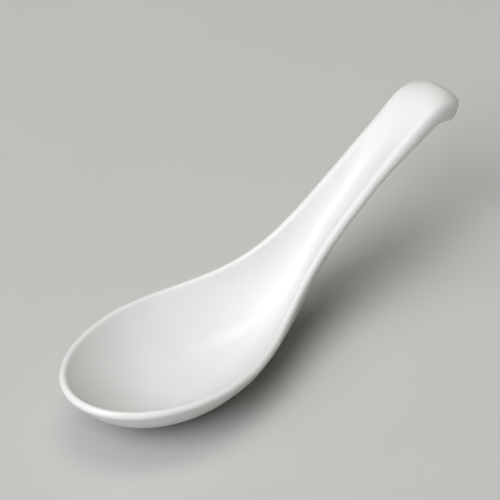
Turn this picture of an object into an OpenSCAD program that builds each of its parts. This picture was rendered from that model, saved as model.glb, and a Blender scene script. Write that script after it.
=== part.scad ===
// Chinese soup spoon in white glazed porcelain. A deep egg-shaped bowl runs into a channelled
// handle, which rises from the back of the bowl and turns down at its thick, flared end.
// The spoon stands on a low, flat oval foot, which is left bare of glaze.
//
// The rim line is the line in the middle plane at the height of the rim. Places along it are
// given from the front of the bowl, and places across it from the middle plane.

/* [Rim line] */
// Length of the rim line, from the front of the bowl to the end of the handle
line_l = 142; // [134:1:150]
// Place along the rim line where it starts to bend up into the handle
bend_start = 35.5; // [30:0.5:40]
// Length over which it bends up
bend_l = 47; // [38:1:54]
// Fall of the rim line towards the handle, at the widest place, in degrees
bowl_fall_angle = 2; // [0:0.5:5]
// Extra rise of the rim line at the very front, in degrees
front_rise_angle = 5; // [0:0.5:8]
// Slope of the handle, in degrees
handle_angle = 31; // [24:0.5:36]
// Change of that slope by the end of the handle, in degrees
handle_ease_angle = 1.6; // [0:0.2:4]
// Turn of the end, downwards, in degrees
end_turn_angle = 66; // [54:1:72]
// Length over which the end turns
end_turn_l = 18.5; // [16:0.5:22]

/* [Hollow] */
// Length from the front of the hollow to its widest place
front_l = 33; // [29:0.5:37]
// Width of the hollow at its widest place
bowl_w = 40.5; // [36:0.5:46]
// Width of the channel where the handle is narrowest
neck_w = 9.3; // [8:0.1:12]
// Width of the channel's outline at the handle's end, between its rounded edges
end_w = 12.5; // [10.5:0.5:15]
// Length over which the outline widens towards the end
end_flare_l = 21; // [18:1:26]
// Length of the rounded outline at the handle's end
end_round_l = 8.2; // [7.4:0.2:9.4]
// Depth of the hollow at its widest place
bowl_depth = 13; // [10:0.5:15]
// Height of the crown at the handle's end
end_crown = 2.8; // [2:0.2:3.4]

/* [Walls] */
// Thickness of the bowl's rim
rim_t = 2.4; // [1.8:0.1:2.8]
// Thickness of the bowl's floor
floor_t = 4; // [3:0.25:5]
// Thickness of the lip at the handle's end
end_t = 6; // [5:0.25:6.5]
// Thickness of the glaze
glaze_t = 0.25; // [0.2:0.05:0.4]

/* [Foot] */
// Length of the foot
foot_l = 30; // [26:1:32]
// Width of the foot
foot_w = 16; // [13:0.5:18]
// Height of the bowl's underside over the table
foot_h = 0.8; // [0.6:0.1:1.2]
// Distance from the widest place of the hollow back to the middle of the foot
foot_back = 14; // [12:0.5:16]
// Slant of the foot's root inside the floor, which follows the rise of the bowl's back, in degrees
foot_slant_angle = 6; // [5:0.5:8]
// Width of the bare strip beside the foot, on the bowl's underside
bare_w = 0.6; // [0.4:0.1:1]

/* [Hidden] */

// Columns of the mesh over the front, the sides and the end, cells across it and cells round the rim
front_columns = 7;
side_columns = 34;
end_columns = 5;
cells_across = 16;
rim_cells = 6;
foot_sides = 48;
line_steps = 188;

// Width of the bowl over the neck's, at equal steps from the widest place to the start of the rounded end
bowl_width_shares = [1, 0.92, 0.73, 0.48, 0.26, 0.115, 0.045, 0.02, 0, 0, 0, 0];
// Depth of the hollow and height of the crown, at equal steps from the widest place to the end
depth_shares = [1, 0.98, 0.91, 0.585, 0.3, 0.19, 0.1, 0.05, 0];
crown_shares = [0, 0, 0, 0, 0, 0, 0.09, 0.42, 1];
// Thickness at the edge, from the rim's to the lip's, and in the middle, from the floor's to the lip's
edge_shares = [0, 0, 0.02, 0.21, 0.35, 0.85, 1];
middle_shares = [0, 0.2, 0.15, 0, 0.05, 0.3, 0.7];
// Fullness of the section in the bowl, in the handle and on the crown: 2 is a parabola, more is flatter
bowl_fullness_share = 2.45;
handle_fullness_share = 1.35;
crown_fullness_share = 1.9;
// Fullness of the rounded end's outline: 2 is an ellipse, more is squarer
end_outline_share = 4.2;
// Bulge of the rim's section in the bowl and at the end: 2 is a half circle, less is flatter
bowl_bulge_share = 2;
end_bulge_share = 0.9;
// Places on the way to the end where the crown's fullness, the level underside and the flatter rim begin
crown_start_share = 0.6;
level_start_share = 0.6;
flat_start_share = 0.7;
// Power of the rise at the very front
front_rise_share = 1.9;
// Part of the floor's thickness that the middle of the foot is sunk into
foot_root_share = 0.8;

half_across = cells_across / 2;
columns = front_columns + side_columns + end_columns;
end_start = line_l - end_round_l;
line_step = line_l / line_steps;
// Distance between the points that a surface's slope is taken from
probe = line_step / 40;

// Smooth step from 0 to 1
function ease(t) = let (c = min(max(t, 0), 1)) c * c * (3 - 2 * c);

// Smooth curve through equally spaced values, for t from 0 to 1
function curve(v, t) =
    let (
        n = len(v) - 1,
        x = min(max(t, 0), 1) * n,
        i = min(floor(x), n - 1),
        f = x - i,
        b = v[i],
        c = v[i + 1],
        a = i > 0 ? v[i - 1] : 2 * b - c,
        d = i + 2 <= n ? v[i + 2] : 2 * c - b
    )
    b + f / 2 * (c - a + f * (2 * a - 5 * b + 4 * c - d + f * (3 * (b - c) + d - a)));

// Share of the way from the widest place to the handle's end, and to the start of its rounding
function to_end(s) = (s - front_l) / (line_l - front_l);
function to_round(s) = (s - front_l) / (end_start - front_l);

// Slope of the rim line, in degrees
function slope(s) =
    -bowl_fall_angle
    + (handle_angle + bowl_fall_angle) * ease((s - bend_start) / bend_l)
    - front_rise_angle * pow(max(1 - s / front_l, 0), front_rise_share)
    - handle_ease_angle * min(max((s - bend_start - bend_l) / (line_l - bend_start - bend_l), 0), 1)
    - end_turn_angle * ease((s - line_l + end_turn_l) / end_turn_l);

// The rim line as points, one step past each end, then moved to its place over the foot
line_run = [
    for (
        i = -1, p = [0, 0];
        i <= line_steps + 1;
        p = p + line_step * [cos(slope((i + 0.5) * line_step)), sin(slope((i + 0.5) * line_step))],
        i = i + 1
    ) [i * line_step, p[0], p[1]]
];
run_x = [for (p = line_run) [p[0], p[1]]];
run_z = [for (p = line_run) [p[0], p[2]]];
start_x = lookup(front_l, run_x) + foot_back;
start_z = lookup(front_l, run_z) - foot_h - floor_t - bowl_depth;
function line_x(s) = lookup(s, run_x) - start_x;
function line_z(s) = lookup(s, run_z) - start_z;

function half_width(s) =
    (neck_w
    + (bowl_w - neck_w) * curve(bowl_width_shares, to_round(s))
    + (end_w - neck_w) * ease((s - end_start) / end_flare_l + 1)) / 2;
function depth(s) =
    bowl_depth * curve(depth_shares, to_end(s)) - end_crown * curve(crown_shares, to_end(s));
function fullness(s) =
    bowl_fullness_share
    + (handle_fullness_share - bowl_fullness_share) * ease(2 * to_end(s))
    + (crown_fullness_share - handle_fullness_share) * ease(5 * (to_end(s) - crown_start_share));
function edge_t(s) = rim_t + (end_t - rim_t) * curve(edge_shares, to_end(s));
function middle_t(s) = floor_t + (end_t - floor_t) * curve(middle_shares, to_end(s));

// 0 on the middle line and 1 on the edge of the hollow
function reach(s, y) =
    let (
        m = s > end_start ? end_outline_share : 2,
        along = s < front_l ? (front_l - s) / front_l : max((s - end_start) / end_round_l, 0),
        across = abs(y) / half_width(s)
    )
    pow(pow(along, m) + pow(across, m), 1 / m);

// Point of the upper surface
function top(s, y) =
    let (a = slope(s), h = depth(s) * (pow(reach(s, y), fullness(s)) - 1))
    [line_x(s) - h * sin(a), y, line_z(s) + h * cos(a)];

function unit(v) = v / norm(v);

// Direction square to the upper surface, upwards
function up(s, y) =
    unit(cross(top(s + probe, y) - top(s - probe, y), top(s, y + probe) - top(s, y - probe)));

function wall(s, y) = let (e = edge_t(s)) e + (middle_t(s) - e) * (1 - pow(reach(s, y), 2));

// How far a change that starts at a place on the way to the end has gone, from 0 to 1 at the end
function since(s, start) = ease((to_end(s) - start) / (1 - start));

// Point of the underside: square below the upper surface in the bowl, and below the rim line at the end
function under(s, y) =
    let (
        square = up(s, y),
        level = [-sin(slope(s)), 0, cos(slope(s))],
        k = since(s, level_start_share)
    )
    top(s, y) - wall(s, y) * unit((1 - k) * square + k * level);

// Direction square to the underside, upwards
function under_up(s, y) =
    unit(cross(under(s + probe, y) - under(s - probe, y), under(s, y + probe) - under(s, y - probe)));

// Places [s, y] of the mesh: a square that is drawn out to the outline at both ends
function front_place(u, v) =
    [front_l * (1 - u * sqrt(1 - v * v / 2)), half_width(front_l) * v * sqrt(1 - u * u / 2)];
function end_place(u, v) =
    let (
        a = u * sqrt(1 - v * v / 2),
        b = v * sqrt(1 - u * u / 2),
        m = end_outline_share,
        g = pow(pow(a, m) + pow(abs(b), m), 1 / m),
        k = g > 0 ? norm([a, b]) / g : 1
    )
    [end_start + end_round_l * a * k, half_width(end_start) * b * k];
function side_place(u, v) =
    let (s = front_l + (end_start - front_l) * u) [s, half_width(s) * v];
function place(i, v) =
    i < front_columns ? front_place(1 - i / front_columns, v)
    : i <= front_columns + side_columns ? side_place((i - front_columns) / side_columns, v)
    : end_place((i - front_columns - side_columns) / end_columns, v);

places = [for (i = [0:columns]) for (j = [0:cells_across]) place(i, j / half_across - 1)];
tops = [for (p = places) top(p[0], p[1])];
ups = [for (p = places) up(p[0], p[1])];
unders = [for (p = places) under(p[0], p[1])];
under_ups = [for (p = places) under_up(p[0], p[1])];

function index(i, j) = i * (cells_across + 1) + j;
sheet_count = (columns + 1) * (cells_across + 1);

// The mesh's edge as indices, once round from the front, and the way outwards from each of them
edge = concat(
    [for (j = [half_across:-1:1]) index(0, j)],
    [for (i = [0:columns - 1]) index(i, 0)],
    [for (j = [0:cells_across - 1]) index(columns, j)],
    [for (i = [columns:-1:1]) index(i, cells_across)],
    [for (j = [cells_across:-1:half_across + 1]) index(0, j)]
);
edge_count = len(edge);

// The way along the edge of a sheet of points, past each edge point, and the way outwards there
function edge_ways(points) =
    [
        for (k = [0:edge_count - 1])
            unit(points[edge[(k + 1) % edge_count]] - points[edge[(k + edge_count - 1) % edge_count]])
    ];
function out_ways(ways, square) = [for (k = [0:edge_count - 1]) unit(cross(ways[k], square[edge[k]]))];
upper_ways = edge_ways(tops);
lower_ways = edge_ways(unders);
upper_outs = out_ways(upper_ways, ups);
lower_outs = out_ways(lower_ways, under_ups);

// Point of the rim, from the upper edge at d = 0 to the lower edge at d = 1, drawn in by inset
function rim_point(k, d, inset) =
    let (
        upper = tops[edge[k]],
        lower = unders[edge[k]],
        far = since(places[edge[k]][0], flat_start_share),
        pull = (bowl_bulge_share + (end_bulge_share - bowl_bulge_share) * far) * norm(upper - lower),
        away = (1 - d) * upper_outs[k] + d * lower_outs[k],
        turn = (1 - 2 * d) * away + d * (1 - d) * (lower_outs[k] - upper_outs[k]),
        round = 6 * d * (1 - d) * (lower - upper) + pull * turn,
        along = (1 - d) * upper_ways[k] + d * lower_ways[k]
    )
    upper + d * d * (3 - 2 * d) * (lower - upper) + pull * d * (1 - d) * away
    - inset * unit(cross(round, along));

// Corner lists of one cell, cut along the diagonal that keeps both halves alike
function cell(a, b, c, d, falling) = falling ? [[a, c, b], [a, d, c]] : [[a, d, b], [b, d, c]];
function flipped(list) = [for (f = list) [f[2], f[1], f[0]]];
sheet_faces = [
    for (i = [0:columns - 1])
        for (j = [0:cells_across - 1])
            let (falling = (i < columns / 2) == (j < half_across))
            each cell(index(i, j), index(i + 1, j), index(i + 1, j + 1), index(i, j + 1), falling)
];

// Index of a point in ring r of the rim, from the upper sheet's edge to the lower sheet's
function rim_index(r, k) =
    let (e = k % edge_count)
    r == 0 ? edge[e]
    : r == rim_cells ? sheet_count + edge[e]
    : 2 * sheet_count + (r - 1) * edge_count + e;
rim_faces = [
    for (r = [0:rim_cells - 1])
        for (k = [0:edge_count - 1])
            each cell(rim_index(r + 1, k), rim_index(r + 1, k + 1), rim_index(r, k + 1), rim_index(r, k),
                k < edge_count / 2)
];
form_faces = concat(
    sheet_faces,
    [for (f = flipped(sheet_faces)) f + sheet_count * [1, 1, 1]],
    rim_faces
);

// The whole spoon without its foot, drawn in by inset on every side
module form(inset) {
    upper = [for (k = [0:sheet_count - 1]) tops[k] - inset * ups[k]];
    lower = [for (k = [0:sheet_count - 1]) unders[k] + inset * under_ups[k]];
    rim = [for (r = [1:rim_cells - 1]) for (k = [0:edge_count - 1]) rim_point(k, r / rim_cells, inset)];
    polyhedron(points = concat(upper, lower, rim), faces = form_faces, convexity = 6);
}

// Oval prism on the table, grown by spare on every side and cut off on a slant inside the floor
module foot(spare) {
    intersection() {
        linear_extrude(height = foot_l)
            polygon([
                for (k = [0:foot_sides - 1])
                    let (turn = 360 * k / foot_sides)
                    [(foot_l / 2 + spare) * cos(turn), (foot_w / 2 + spare) * sin(turn)]
            ]);
        translate([0, 0, foot_h + foot_root_share * floor_t])
            rotate([0, -foot_slant_angle, 0])
            translate([-foot_l, -foot_l, -2 * foot_l])
            cube(2 * foot_l);
    }
}

// The fired clay, with the foot that it stands on
module porcelain_body() {
    color("#dcd9d2")
        union() {
            form(glaze_t);
            foot(0);
        }
}

// The glaze that is melted onto the clay, wiped away at the foot and round it
module glaze_coat() {
    color("#f2f3f2")
        difference() {
            form(0);
            form(glaze_t);
            foot(bare_w);
        }
}

porcelain_body();
glaze_coat();
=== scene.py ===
"""Looks of the porcelain soup spoon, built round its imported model.

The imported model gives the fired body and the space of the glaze. This script adds the glazed surface
at a finer step, from the same rim line and the same sections, and dresses the bare clay of the foot.
Sizes are in millimetres where a class doesn't say metres, and meshes are in metres.
"""

import logging
import math
from dataclasses import dataclass, field
from enum import Enum
from typing import Any, Callable

import bmesh
import bpy
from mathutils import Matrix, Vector

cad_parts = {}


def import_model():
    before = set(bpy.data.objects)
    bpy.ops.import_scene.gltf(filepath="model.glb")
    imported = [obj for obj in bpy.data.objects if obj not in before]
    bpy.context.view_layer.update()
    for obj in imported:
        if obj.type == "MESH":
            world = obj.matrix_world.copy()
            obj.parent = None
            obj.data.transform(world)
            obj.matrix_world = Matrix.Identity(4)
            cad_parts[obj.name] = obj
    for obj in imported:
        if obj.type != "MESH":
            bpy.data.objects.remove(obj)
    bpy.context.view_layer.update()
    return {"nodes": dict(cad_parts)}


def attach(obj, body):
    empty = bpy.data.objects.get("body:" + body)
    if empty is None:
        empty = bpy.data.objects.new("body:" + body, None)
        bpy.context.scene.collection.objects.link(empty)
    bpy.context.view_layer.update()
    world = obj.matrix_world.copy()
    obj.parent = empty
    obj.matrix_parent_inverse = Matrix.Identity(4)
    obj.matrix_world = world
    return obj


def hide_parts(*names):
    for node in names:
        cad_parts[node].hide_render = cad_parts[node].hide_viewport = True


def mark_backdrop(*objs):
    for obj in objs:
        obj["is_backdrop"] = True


LOG = logging.getLogger("spoon")
MM = 0.001
PHOTO_SIDE = 500
SENSOR_WIDTH = 36.0
CLIP_RANGE = (0.05, 20.0)

Surface = Callable[[float, float], Vector]


def ease(t: float) -> float:
    """Smooth step from 0 to 1.

    Args:
        t: Place along the step. It is held between 0 and 1.

    Returns:
        The height of the step there.
    """
    c = min(max(t, 0.0), 1.0)
    return c * c * (3.0 - 2.0 * c)


def curve(values: tuple[float, ...], t: float) -> float:
    """Smooth curve through equally spaced values.

    Args:
        values: The values from the start to the end of the curve.
        t: Place along the curve, from 0 to 1.

    Returns:
        The curve's value there.
    """
    n = len(values) - 1
    x = min(max(t, 0.0), 1.0) * n
    i = min(int(x), n - 1)
    f = x - i
    b, c = values[i], values[i + 1]
    a = values[i - 1] if i > 0 else 2.0 * b - c
    d = values[i + 2] if i + 2 <= n else 2.0 * c - b
    return b + f / 2.0 * (c - a + f * (2.0 * a - 5.0 * b + 4.0 * c - d + f * (3.0 * (b - c) + d - a)))


def linear(colour: str) -> tuple[float, float, float, float]:
    """Colour for a shader socket.

    Args:
        colour: An sRGB colour as six hex digits.

    Returns:
        The same colour in linear light, with full alpha.
    """
    shares = [int(colour[i : i + 2], 16) / 255.0 for i in (0, 2, 4)]
    red, green, blue = (s / 12.92 if s <= 0.04045 else ((s + 0.055) / 1.055) ** 2.4 for s in shares)
    return (red, green, blue, 1.0)


def add_node(
    tree: bpy.types.NodeTree,
    kind: str,
    settings: dict[str, Any] | None = None,
    inputs: dict[str | int, Any] | None = None,
) -> bpy.types.Node:
    """Adds a node with its settings and its links.

    Args:
        tree: The node tree.
        kind: The node's type name.
        settings: Properties of the node.
        inputs: A value or an output socket for each named or numbered input.

    Returns:
        The new node.
    """
    node = tree.nodes.new(kind)
    for name, value in (settings or {}).items():
        setattr(node, name, value)
    for name, value in (inputs or {}).items():
        if isinstance(value, bpy.types.NodeSocket):
            tree.links.new(value, node.inputs[name])
        else:
            node.inputs[name].default_value = value
    return node


def empty_material(name: str) -> bpy.types.Material:
    """Starts a material without nodes.

    Args:
        name: The material's name.

    Returns:
        The new material.
    """
    material = bpy.data.materials.new(name)
    material.use_nodes = True
    material.node_tree.nodes.clear()
    return material


class Region(Enum):
    """Stretch of the plan outline."""

    FRONT = "rounded front of the bowl"
    SIDE = "sides of the bowl and the handle"
    END = "rounded end of the handle"


@dataclass(frozen=True)
class RimLine:
    """Line in the middle plane at the height of the rim, from the front of the bowl to the handle's end.

    It is laid out in equal steps and runs on past both ends by the overrun. Falls, rises, slopes, the ease
    and the turn are in degrees.
    """

    length: float = 142.0
    bend_start: float = 35.5
    bend_length: float = 47.0
    bowl_fall: float = 2.0
    front_rise: float = 5.0
    front_power: float = 1.9
    front_length: float = 33.0
    handle_slope: float = 31.0
    handle_ease: float = 1.6
    end_turn: float = 66.0
    end_turn_length: float = 18.5
    step: float = 0.125
    overrun: float = 1.0

    def slope(self, s: float) -> float:
        """Slope of the line.

        Args:
            s: Place along the line.

        Returns:
            The slope there, in radians.
        """
        bend_end = self.bend_start + self.bend_length
        degrees = (
            -self.bowl_fall
            + (self.handle_slope + self.bowl_fall) * ease((s - self.bend_start) / self.bend_length)
            - self.front_rise * max(1.0 - s / self.front_length, 0.0) ** self.front_power
            - self.handle_ease * min(max((s - bend_end) / (self.length - bend_end), 0.0), 1.0)
            - self.end_turn * ease((s - self.length + self.end_turn_length) / self.end_turn_length)
        )
        return math.radians(degrees)

    def run(self) -> list[tuple[float, float]]:
        """Lays the line out.

        Returns:
            Its points [x, z] at equal steps, with the overrun at both ends.
        """
        points = [(0.0, 0.0)]
        for i in range(int((self.length + 2.0 * self.overrun) / self.step)):
            a = self.slope((i + 0.5) * self.step - self.overrun)
            x, z = points[-1]
            points.append((x + self.step * math.cos(a), z + self.step * math.sin(a)))
        return points


@dataclass
class SpoonForm:
    """Shape of the spoon: an upper surface over the rim line, an underside and a round rim between them.

    The tuples hold shares at equal steps from the widest place to the end. Each field that ends in start is
    a place on that way, from 0 to 1, and crown_reach is the share of it over which the section changes to
    the crown's. A fullness of 2 is a parabola, an outline of 2 an ellipse and a roundness of 2 about a half
    circle.
    """

    line: RimLine = field(default_factory=RimLine)
    bowl_width: float = 40.5
    neck_width: float = 9.3
    end_width: float = 12.5
    end_flare: float = 21.0
    end_round: float = 8.2
    bowl_depth: float = 13.0
    end_crown: float = 2.8
    rim_wall: float = 2.4
    floor_wall: float = 4.0
    end_wall: float = 6.0
    foot_height: float = 0.8
    foot_back: float = 14.0
    bowl_widths: tuple[float, ...] = (1, 0.92, 0.73, 0.48, 0.26, 0.115, 0.045, 0.02, 0, 0, 0, 0)
    depths: tuple[float, ...] = (1, 0.98, 0.91, 0.585, 0.3, 0.19, 0.1, 0.05, 0)
    crowns: tuple[float, ...] = (0, 0, 0, 0, 0, 0, 0.09, 0.42, 1)
    edge_walls: tuple[float, ...] = (0, 0, 0.02, 0.21, 0.35, 0.85, 1)
    middle_walls: tuple[float, ...] = (0, 0.2, 0.15, 0, 0.05, 0.3, 0.7)
    bowl_fullness: float = 2.45
    handle_fullness: float = 1.35
    crown_fullness: float = 1.9
    handle_start: float = 0.5
    crown_start: float = 0.6
    crown_reach: float = 0.2
    end_outline: float = 4.2
    level_start: float = 0.6
    tight_start: float = 0.7
    bowl_roundness: float = 2.0
    end_roundness: float = 0.9
    probe: float = 0.02

    def __post_init__(self) -> None:
        """Lays the rim line out and puts the foot's middle under the origin."""
        self.points = self.line.run()
        x, z = self.line_point(self.line.front_length)
        rest = self.foot_height + self.floor_wall + self.bowl_depth
        self.points = [(px - x - self.foot_back, pz - z + rest) for px, pz in self.points]

    def line_point(self, s: float) -> tuple[float, float]:
        """Point of the rim line.

        Args:
            s: Place along the line.

        Returns:
            Its x and z.
        """
        at = (s + self.line.overrun) / self.line.step
        i = min(max(int(at), 0), len(self.points) - 2)
        f = at - i
        (x0, z0), (x1, z1) = self.points[i], self.points[i + 1]
        return (x0 + f * (x1 - x0), z0 + f * (z1 - z0))

    @property
    def end_start(self) -> float:
        """Place where the handle's rounded end starts."""
        return self.line.length - self.end_round

    def to_end(self, s: float) -> float:
        """Returns the share of the way from the widest place to the end."""
        return (s - self.line.front_length) / (self.line.length - self.line.front_length)

    def half_width(self, s: float) -> float:
        """Half the width of the hollow's outline.

        Args:
            s: Place along the rim line.

        Returns:
            The half width there.
        """
        t = (s - self.line.front_length) / (self.end_start - self.line.front_length)
        bowl = (self.bowl_width - self.neck_width) * curve(self.bowl_widths, t)
        end = (self.end_width - self.neck_width) * ease((s - self.end_start) / self.end_flare + 1.0)
        return (self.neck_width + bowl + end) / 2.0

    def region(self, s: float) -> Region:
        """Stretch of the outline that a place lies on.

        Args:
            s: Place along the rim line.

        Returns:
            The stretch.
        """
        if s < self.line.front_length:
            return Region.FRONT
        return Region.END if s > self.end_start else Region.SIDE

    def reach(self, s: float, y: float) -> float:
        """Share of the way from the middle line to the edge.

        Args:
            s: Place along the rim line.
            y: Place across it.

        Returns:
            0 on the middle line and 1 on the edge.
        """
        along, power = 0.0, 2.0
        match self.region(s):
            case Region.FRONT:
                along = (self.line.front_length - s) / self.line.front_length
            case Region.END:
                along = (s - self.end_start) / self.end_round
                power = self.end_outline
        across = abs(y) / self.half_width(s)
        return (along**power + across**power) ** (1.0 / power)

    def top(self, s: float, y: float) -> Vector:
        """Point of the upper surface.

        Args:
            s: Place along the rim line.
            y: Place across it.

        Returns:
            The point.
        """
        a = self.line.slope(s)
        t = self.to_end(s)
        depth = self.bowl_depth * curve(self.depths, t) - self.end_crown * curve(self.crowns, t)
        fullness = (
            self.bowl_fullness
            + (self.handle_fullness - self.bowl_fullness) * ease(t / self.handle_start)
            + (self.crown_fullness - self.handle_fullness) * ease((t - self.crown_start) / self.crown_reach)
        )
        height = depth * (self.reach(s, y) ** fullness - 1.0)
        x, z = self.line_point(s)
        return Vector((x - height * math.sin(a), y, z + height * math.cos(a)))

    def wall(self, s: float, y: float) -> float:
        """Thickness of the wall.

        Args:
            s: Place along the rim line.
            y: Place across it.

        Returns:
            The thickness there.
        """
        t = self.to_end(s)
        edge = self.rim_wall + (self.end_wall - self.rim_wall) * curve(self.edge_walls, t)
        middle = self.floor_wall + (self.end_wall - self.floor_wall) * curve(self.middle_walls, t)
        return edge + (middle - edge) * (1.0 - self.reach(s, y) ** 2)

    def slopes(self, surface: Surface, s: float, y: float) -> tuple[Vector, Vector, Vector]:
        """Slopes of a surface at a place.

        Args:
            surface: The upper surface or the underside.
            s: Place along the rim line.
            y: Place across it.

        Returns:
            The steps along it and across it, and the direction square to both, upwards.
        """
        along = surface(s + self.probe, y) - surface(s - self.probe, y)
        across = surface(s, y + self.probe) - surface(s, y - self.probe)
        return (along, across, along.cross(across).normalized())

    def under(self, s: float, y: float) -> Vector:
        """Point of the underside.

        Args:
            s: Place along the rim line.
            y: Place across it.

        Returns:
            The point: square below the upper surface in the bowl, and square below the rim line at the end.
        """
        a = self.line.slope(s)
        share = ease((self.to_end(s) - self.level_start) / (1.0 - self.level_start))
        square = self.slopes(self.top, s, y)[2]
        level = Vector((-math.sin(a), 0.0, math.cos(a)))
        return self.top(s, y) - self.wall(s, y) * square.lerp(level, share).normalized()

    def outward(self, surface: Surface, s: float, y: float) -> Vector:
        """Direction in which a surface leaves over its edge.

        Args:
            surface: The upper surface or the underside.
            s: Place along the rim line.
            y: Place across it.

        Returns:
            The direction, square to the edge and along the surface.
        """
        along, across, up = self.slopes(surface, s, y)
        steeper = self.reach(s + self.probe, y) - self.reach(s - self.probe, y)
        wider = self.reach(s, y + self.probe) - self.reach(s, y - self.probe)
        return (steeper * across - wider * along).cross(up).normalized()

    def rim(self, s: float, y: float, deep: float) -> Vector:
        """Point of the rim, which runs round from the upper surface's edge to the underside's.

        Args:
            s: Place along the rim line.
            y: Place across it.
            deep: 0 at the upper edge and 1 at the lower one.

        Returns:
            The point.
        """
        upper, lower = self.top(s, y), self.under(s, y)
        share = ease((self.to_end(s) - self.tight_start) / (1.0 - self.tight_start))
        bulge = self.bowl_roundness + (self.end_roundness - self.bowl_roundness) * share
        pull = bulge * (upper - lower).length * deep * (1.0 - deep)
        away = (1.0 - deep) * self.outward(self.top, s, y) + deep * self.outward(self.under, s, y)
        return upper.lerp(lower, deep * deep * (3.0 - 2.0 * deep)) + pull * away

    def skin(self, s: float, y: float, deep: float) -> Vector:
        """Point of the outer skin.

        Args:
            s: Place along the rim line.
            y: Place across it.
            deep: 0 on the upper surface, 1 on the underside, and between them on the rim.

        Returns:
            The point.
        """
        match deep:
            case 0.0:
                return self.top(s, y)
            case 1.0:
                return self.under(s, y)
        return self.rim(s, y, deep)


@dataclass(frozen=True)
class GlazeFinish:
    """Clear feldspar glaze over white porcelain, dipped and fired.

    The glass is smooth and gives soft reflections. Lower down the white is painted a little greyer and
    cooler, partly for the glaze lying thicker in the hollow and partly as painted shade for the bowl's
    dimmer floor. Lengths are in millimetres.
    """

    name: str = "clear_glaze_on_porcelain"
    colour: str = "EEEEED"
    # Painted shade: the greyer, cooler colour of the lower spoon, partly glaze pooled thick in the hollow.
    pooled_and_shaded: str = "DFE1E0"
    shade_pool_top: float = 18.0
    shade_pool_floor: float = 5.0
    shade_pool_share: float = 0.75
    cloud_size: float = 14.0
    cloud_share: float = 0.35
    roughness: float = 0.22
    ior: float = 1.5
    specular: float = 0.35
    ripple_size: float = 9.0
    ripple_height: float = 0.01
    scatter_share: float = 0.2
    scatter_size: float = 0.6
    scatter_colours: tuple[float, float, float] = (1.0, 0.9, 0.8)

    def material(self) -> bpy.types.Material:
        """Makes the glaze's material.

        Returns:
            The material, which goes from the plain glaze to a greyer, cooler one lower down, towards the
            floor of the bowl: painted shade, partly glaze pooled in the hollow.
        """
        material = empty_material(self.name)
        tree = material.node_tree
        place = add_node(tree, "ShaderNodeTexCoord").outputs["Object"]
        cloud = add_node(
            tree,
            "ShaderNodeTexNoise",
            {"noise_dimensions": "3D"},
            {"Vector": place, "Scale": 1.0 / (self.cloud_size * MM), "Detail": 2.0, "Roughness": 0.45},
        )
        height = add_node(tree, "ShaderNodeSeparateXYZ", inputs={"Vector": place}).outputs["Z"]
        # Painted shade: the colour turns greyer and cooler from 18 mm down to 5 mm above the table, partly
        # for glaze pooled in the hollow.
        shade_pool = add_node(
            tree,
            "ShaderNodeMapRange",
            {"interpolation_type": "SMOOTHSTEP"},
            {
                "Value": height,
                "From Min": self.shade_pool_top * MM,
                "From Max": self.shade_pool_floor * MM,
                "To Min": 0.0,
                "To Max": self.shade_pool_share,
            },
        )
        share = add_node(
            tree,
            "ShaderNodeMath",
            {"operation": "MULTIPLY_ADD", "use_clamp": True},
            {0: cloud.outputs["Fac"], 1: self.cloud_share, 2: shade_pool.outputs["Result"]},
        )
        colour = add_node(
            tree,
            "ShaderNodeMix",
            {"data_type": "RGBA"},
            {0: share.outputs[0], 6: linear(self.colour), 7: linear(self.pooled_and_shaded)},
        )
        ripple = add_node(
            tree,
            "ShaderNodeTexNoise",
            {"noise_dimensions": "3D"},
            {"Vector": place, "Scale": 1.0 / (self.ripple_size * MM), "Detail": 1.0, "Roughness": 0.4},
        )
        bump = add_node(
            tree,
            "ShaderNodeBump",
            inputs={"Height": ripple.outputs["Fac"], "Distance": self.ripple_height * MM, "Strength": 1.0},
        )
        glass = add_node(
            tree,
            "ShaderNodeBsdfPrincipled",
            inputs={
                "Base Color": colour.outputs[2],
                "Roughness": self.roughness,
                "IOR": self.ior,
                "Specular IOR Level": self.specular,
                "Subsurface Weight": self.scatter_share,
                "Subsurface Radius": self.scatter_colours,
                "Subsurface Scale": self.scatter_size * MM,
                "Normal": bump.outputs["Normal"],
            },
        )
        add_node(tree, "ShaderNodeOutputMaterial", inputs={"Surface": glass.outputs["BSDF"]})
        return material


@dataclass(frozen=True)
class BiscuitFinish:
    """Bare fired porcelain, wiped clean of glaze before the kiln.

    It is matt, and looks warmer than the glaze. The clay's own grain, about 0.05 mm, is too fine to show, so
    it is drawn at 0.35 mm. Lengths are in millimetres.
    """

    name: str = "bare_fired_porcelain"
    colour: str = "DFDCD4"
    worn: str = "CFCABF"
    stain_size: float = 6.0
    roughness: float = 0.62
    ior: float = 1.5
    grain_size: float = 0.35
    grain_height: float = 0.02

    def material(self) -> bpy.types.Material:
        """Makes the bare clay's material.

        Returns:
            The material, with faint stains and a fine grain.
        """
        material = empty_material(self.name)
        tree = material.node_tree
        place = add_node(tree, "ShaderNodeTexCoord").outputs["Object"]
        stain = add_node(
            tree,
            "ShaderNodeTexNoise",
            {"noise_dimensions": "3D"},
            {"Vector": place, "Scale": 1.0 / (self.stain_size * MM), "Detail": 4.0, "Roughness": 0.6},
        )
        colour = add_node(
            tree,
            "ShaderNodeMix",
            {"data_type": "RGBA"},
            {0: stain.outputs["Fac"], 6: linear(self.colour), 7: linear(self.worn)},
        )
        grain = add_node(
            tree,
            "ShaderNodeTexNoise",
            {"noise_dimensions": "3D"},
            {"Vector": place, "Scale": 1.0 / (self.grain_size * MM), "Detail": 3.0, "Roughness": 0.6},
        )
        bump = add_node(
            tree,
            "ShaderNodeBump",
            inputs={"Height": grain.outputs["Fac"], "Distance": self.grain_height * MM, "Strength": 1.0},
        )
        clay = add_node(
            tree,
            "ShaderNodeBsdfPrincipled",
            inputs={
                "Base Color": colour.outputs[2],
                "Roughness": self.roughness,
                "IOR": self.ior,
                "Normal": bump.outputs["Normal"],
            },
        )
        add_node(tree, "ShaderNodeOutputMaterial", inputs={"Surface": clay.outputs["BSDF"]})
        return material


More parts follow.
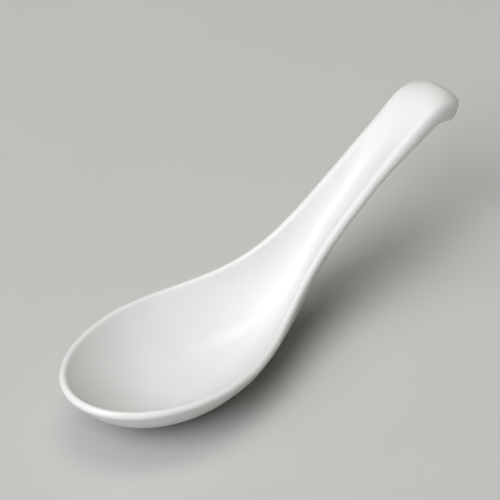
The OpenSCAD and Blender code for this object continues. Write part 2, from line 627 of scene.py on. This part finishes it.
@dataclass(frozen=True)
class PaperFinish:
    """Pale grey background paper.

    It is matt, and a faint cloudiness keeps it from looking empty. The cloud's size is in millimetres.
    """

    name: str = "grey_background_paper"
    colour: str = "CBCBC9"
    cloud: str = "C7C7C5"
    cloud_size: float = 40.0
    roughness: float = 0.9
    specular: float = 0.1

    def material(self) -> bpy.types.Material:
        """Makes the paper's material.

        Returns:
            The material, with its faint cloudiness.
        """
        material = empty_material(self.name)
        tree = material.node_tree
        place = add_node(tree, "ShaderNodeTexCoord").outputs["Object"]
        cloud = add_node(
            tree,
            "ShaderNodeTexNoise",
            {"noise_dimensions": "3D"},
            {"Vector": place, "Scale": 1.0 / (self.cloud_size * MM), "Detail": 3.0, "Roughness": 0.5},
        )
        colour = add_node(
            tree,
            "ShaderNodeMix",
            {"data_type": "RGBA"},
            {0: cloud.outputs["Fac"], 6: linear(self.colour), 7: linear(self.cloud)},
        )
        paper = add_node(
            tree,
            "ShaderNodeBsdfPrincipled",
            inputs={
                "Base Color": colour.outputs[2],
                "Roughness": self.roughness,
                "Specular IOR Level": self.specular,
            },
        )
        add_node(tree, "ShaderNodeOutputMaterial", inputs={"Surface": paper.outputs["BSDF"]})
        return material


@dataclass
class GlazeCoat:
    """The glazed surface of the spoon, left off at the foot and in a narrow strip round it.

    It is drawn in a little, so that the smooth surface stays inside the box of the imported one. The foot's
    slant and the sharp angle are in degrees.
    """

    form: SpoonForm
    finish: GlazeFinish = field(default_factory=GlazeFinish)
    front_columns: int = 14
    side_columns: int = 68
    end_columns: int = 12
    cells_across: int = 32
    rim_cells: int = 10
    foot_length: float = 30.0
    foot_width: float = 16.0
    foot_root: float = 4.0
    foot_slant: float = 6.0
    bare_strip: float = 0.6
    drawn_in: float = 0.035
    foot_overrun: float = 1.0
    foot_sides: int = 96
    sharp_angle: float = 40.0

    def place(self, i: float, v: float) -> tuple[float, float]:
        """Place of a mesh point in plan: a square drawn out to the outline at both ends.

        Args:
            i: Column of the mesh, counted from the front.
            v: Place across the mesh, from -1 to 1.

        Returns:
            The place along the rim line and the place across it.
        """
        form = self.form
        widest, end = form.line.front_length, form.end_start
        if i < self.front_columns:
            u = 1.0 - i / self.front_columns
            along = 1.0 - u * math.sqrt(1.0 - v * v / 2.0)
            return (widest * along, form.half_width(widest) * v * math.sqrt(1.0 - u * u / 2.0))
        i -= self.front_columns
        if i <= self.side_columns:
            s = widest + (end - widest) * i / self.side_columns
            return (s, form.half_width(s) * v)
        u = min((i - self.side_columns) / self.end_columns, 1.0)
        a, b = u * math.sqrt(1.0 - v * v / 2.0), v * math.sqrt(1.0 - u * u / 2.0)
        m = form.end_outline
        k = math.hypot(a, b) / (a**m + abs(b) ** m) ** (1.0 / m)
        return (end + form.end_round * a * k, form.half_width(end) * b * k)

    def plate(self) -> bmesh.types.BMesh:
        """Flat plate whose third coordinate says how deep a point lies in the wall, from 0 to 1.

        Returns:
            The plate, closed all round.
        """
        bm = bmesh.new()
        columns = self.front_columns + self.side_columns + self.end_columns
        bmesh.ops.create_grid(bm, x_segments=columns, y_segments=self.cells_across, size=1.0)
        for vert in bm.verts:
            s, y = self.place(round((vert.co.x + 1.0) / 2.0 * columns), vert.co.y)
            vert.co = Vector((s, y, 0.0))
        lower = bmesh.ops.extrude_face_region(bm, geom=bm.faces[:], use_keep_orig=True)["geom"]
        bmesh.ops.translate(
            bm, vec=(0.0, 0.0, 1.0), verts=[g for g in lower if isinstance(g, bmesh.types.BMVert)]
        )
        wall = [e for e in bm.edges if abs(e.verts[0].co.z - e.verts[1].co.z) > 0.5]
        bmesh.ops.subdivide_edges(bm, edges=wall, cuts=self.rim_cells - 1, use_grid_fill=True)
        return bm

    def shell(self) -> bpy.types.Object:
        """Bends the plate into the glazed form.

        Returns:
            The closed form, before the foot is cleared.
        """
        bm = self.plate()
        for vert in bm.verts:
            s, y, deep = vert.co
            vert.co = self.form.skin(s, y, deep) * MM
        bmesh.ops.recalc_face_normals(bm, faces=bm.faces[:])
        bm.normal_update()
        for vert, normal in [(vert, vert.normal.copy()) for vert in bm.verts]:
            vert.co -= self.drawn_in * MM * normal
        for face in bm.faces:
            face.smooth = True
        LOG.info("glaze: %d points, %d faces", len(bm.verts), len(bm.faces))
        return as_object(bm, "glazed_surface")

    def foot_space(self) -> bpy.types.Object:
        """Makes the oval space of the foot and its bare strip.

        Returns:
            The space, from below the table up to a slant in the bowl's floor.
        """
        bm = bmesh.new()
        bmesh.ops.create_circle(bm, cap_ends=True, segments=self.foot_sides, radius=1.0)
        across = (self.foot_length / 2.0 + self.bare_strip, self.foot_width / 2.0 + self.bare_strip)
        bmesh.ops.scale(bm, vec=(across[0], across[1], 1.0), verts=bm.verts[:])
        bmesh.ops.translate(bm, vec=(0.0, 0.0, -self.foot_overrun), verts=bm.verts[:])
        top = bmesh.ops.extrude_face_region(bm, geom=bm.faces[:], use_keep_orig=True)["geom"]
        for vert in (g for g in top if isinstance(g, bmesh.types.BMVert)):
            vert.co.z = self.foot_root + vert.co.x * math.tan(math.radians(self.foot_slant))
        bmesh.ops.scale(bm, vec=(MM, MM, MM), verts=bm.verts[:])
        bmesh.ops.recalc_face_normals(bm, faces=bm.faces[:])
        return as_object(bm, "foot_space")

    def build(self) -> bpy.types.Object:
        """Builds and dresses the glaze.

        Returns:
            The finished piece.
        """
        coat, space = self.shell(), self.foot_space()
        finer = coat.modifiers.new("finer", "SUBSURF")
        finer.levels = finer.render_levels = 1
        cleared = coat.modifiers.new("cleared_foot", "BOOLEAN")
        cleared.operation = "DIFFERENCE"
        cleared.solver = "EXACT"
        cleared.object = space
        graph = bpy.context.evaluated_depsgraph_get()
        mesh = bpy.data.meshes.new_from_object(coat.evaluated_get(graph))
        coat.modifiers.clear()
        coat.data = mesh
        mesh.set_sharp_from_angle(angle=math.radians(self.sharp_angle))
        bpy.data.objects.remove(space)
        coat.data.materials.clear()
        coat.data.materials.append(self.finish.material())
        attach(coat, "root")
        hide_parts("glaze_coat")
        return coat


@dataclass
class BareClay:
    """The fired body, which shows at the foot and in the strip round it."""

    finish: BiscuitFinish = field(default_factory=BiscuitFinish)

    def dress(self, node: bpy.types.Object) -> bpy.types.Object:
        """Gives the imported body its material.

        Args:
            node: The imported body.

        Returns:
            The same body.
        """
        material = self.finish.material()
        if node.data.materials:
            for slot in node.material_slots:
                slot.material = material
        else:
            node.data.materials.append(material)
        return node


@dataclass(frozen=True)
class Lamp:
    """A round soft lamp. Angles are in degrees and lengths in metres.

    Its glow is the brightness of its face, where 1 is as bright as white paper in full light.
    """

    name: str
    azimuth: float
    elevation: float
    size: float
    far: float
    glow: float
    colour: str


@dataclass
class Studio:
    """Ground, lights and camera.

    The camera's distance and target are in millimetres. How far the ground reaches each way and the place
    that the lamps look at are in metres. Angles are in degrees.
    """

    finish: PaperFinish = field(default_factory=PaperFinish)
    azimuth: float = -43.77
    elevation: float = 38.95
    distance: float = 1190.0
    target: tuple[float, float, float] = (12.88, 0.0, 35.27)
    pixels_per_mm: float = 3.849
    ground_reach: float = 3.0
    ground_cells: int = 8
    aim: tuple[float, float, float] = (0.01, 0.0, 0.02)
    lamps: tuple[Lamp, ...] = (
        Lamp("key_lamp", -74.0, 44.0, 1.8, 3.0, 7.15, "FBFCFF"),
        Lamp("side_lamp", -98.0, 54.0, 3.0, 3.0, 1.3, "FBFCFF"),
        Lamp("top_lamp", 0.0, 90.0, 1.5, 2.4, 2.6, "FFFEF3"),
    )
    room: str = "FFFEF0"
    room_glow: float = 0.08
    backdrop: str = "BFBFBC"

    def direction(self, azimuth: float, elevation: float) -> Vector:
        """Returns the unit vector towards a place given by its azimuth and elevation in degrees."""
        a, e = math.radians(azimuth), math.radians(elevation)
        return Vector((math.sin(a) * math.cos(e), -math.cos(a) * math.cos(e), math.sin(e)))

    def ground(self) -> bpy.types.Object:
        """Lays out the sheet of paper that the spoon stands on.

        Returns:
            The sheet, declared as stage.
        """
        bm = bmesh.new()
        cells = self.ground_cells
        bmesh.ops.create_grid(bm, x_segments=cells, y_segments=cells, size=self.ground_reach)
        sheet = as_object(bm, "ground")
        sheet.data.materials.append(self.finish.material())
        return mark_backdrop(sheet)

    def camera(self) -> bpy.types.Object:
        """Sets the camera up at the photograph's angle.

        Returns:
            The scene's camera.
        """
        data = bpy.data.cameras.new("camera")
        data.sensor_width = SENSOR_WIDTH
        data.lens = self.pixels_per_mm * self.distance * SENSOR_WIDTH / PHOTO_SIDE
        data.clip_start, data.clip_end = CLIP_RANGE
        camera = bpy.data.objects.new("camera", data)
        away = self.direction(self.azimuth, self.elevation)
        camera.location = (Vector(self.target) + away * self.distance) * MM
        camera.rotation_euler = (-away).to_track_quat("-Z", "Y").to_euler()
        bpy.context.scene.collection.objects.link(camera)
        bpy.context.scene.camera = camera
        return camera

    def lamp(self, lamp: Lamp) -> None:
        """Adds a round soft lamp that looks at the spoon.

        Args:
            lamp: The lamp's place, size, brightness and colour.
        """
        data = bpy.data.lights.new(lamp.name, "AREA")
        data.shape = "DISK"
        data.size = lamp.size
        data.energy = lamp.glow * math.pi * math.pi * lamp.size * lamp.size / 4.0
        data.color = linear(lamp.colour)[:3]
        piece = bpy.data.objects.new(lamp.name, data)
        away = self.direction(lamp.azimuth, lamp.elevation)
        piece.location = Vector(self.aim) + away * lamp.far
        piece.rotation_euler = (-away).to_track_quat("-Z", "Y").to_euler()
        bpy.context.scene.collection.objects.link(piece)

    def light(self) -> None:
        """Adds the lamps and the room."""
        for lamp in self.lamps:
            self.lamp(lamp)
        bpy.context.scene.world = self.room_world()
        bpy.context.scene.view_settings.view_transform = "Standard"

    def room_world(self) -> bpy.types.World:
        """Makes the dim room round the spoon.

        Returns:
            The world, which the camera sees as pale as the paper.
        """
        world = bpy.data.worlds.new("room")
        world.use_nodes = True
        tree = world.node_tree
        tree.nodes.clear()
        dim = add_node(
            tree, "ShaderNodeBackground", inputs={"Color": linear(self.room), "Strength": self.room_glow}
        )
        pale = add_node(
            tree, "ShaderNodeBackground", inputs={"Color": linear(self.backdrop), "Strength": 1.0}
        )
        seen = add_node(
            tree,
            "ShaderNodeMixShader",
            inputs={
                0: add_node(tree, "ShaderNodeLightPath").outputs["Is Camera Ray"],
                1: dim.outputs["Background"],
                2: pale.outputs["Background"],
            },
        )
        add_node(tree, "ShaderNodeOutputWorld", inputs={"Surface": seen.outputs["Shader"]})
        return world

    def build(self) -> None:
        """Builds the whole studio."""
        self.camera()
        self.ground()
        self.light()


def as_object(bm: bmesh.types.BMesh, name: str) -> bpy.types.Object:
    """Turns a mesh under work into an object of the scene.

    Args:
        bm: The mesh, which is freed.
        name: The object's name.

    Returns:
        The object, at the origin.
    """
    mesh = bpy.data.meshes.new(name)
    bm.to_mesh(mesh)
    bm.free()
    piece = bpy.data.objects.new(name, mesh)
    bpy.context.scene.collection.objects.link(piece)
    return piece


def main() -> None:
    """Builds the scene and reports each piece."""
    logging.basicConfig(level=logging.INFO, format="%(name)s: %(message)s")
    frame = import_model()
    studio = Studio()
    studio.build()
    for piece in (GlazeCoat(SpoonForm()).build(), BareClay().dress(frame["nodes"]["porcelain_body"])):
        LOG.info("%s: %d faces", piece.name, len(piece.data.polygons))


if __name__ == "__main__":
    main()
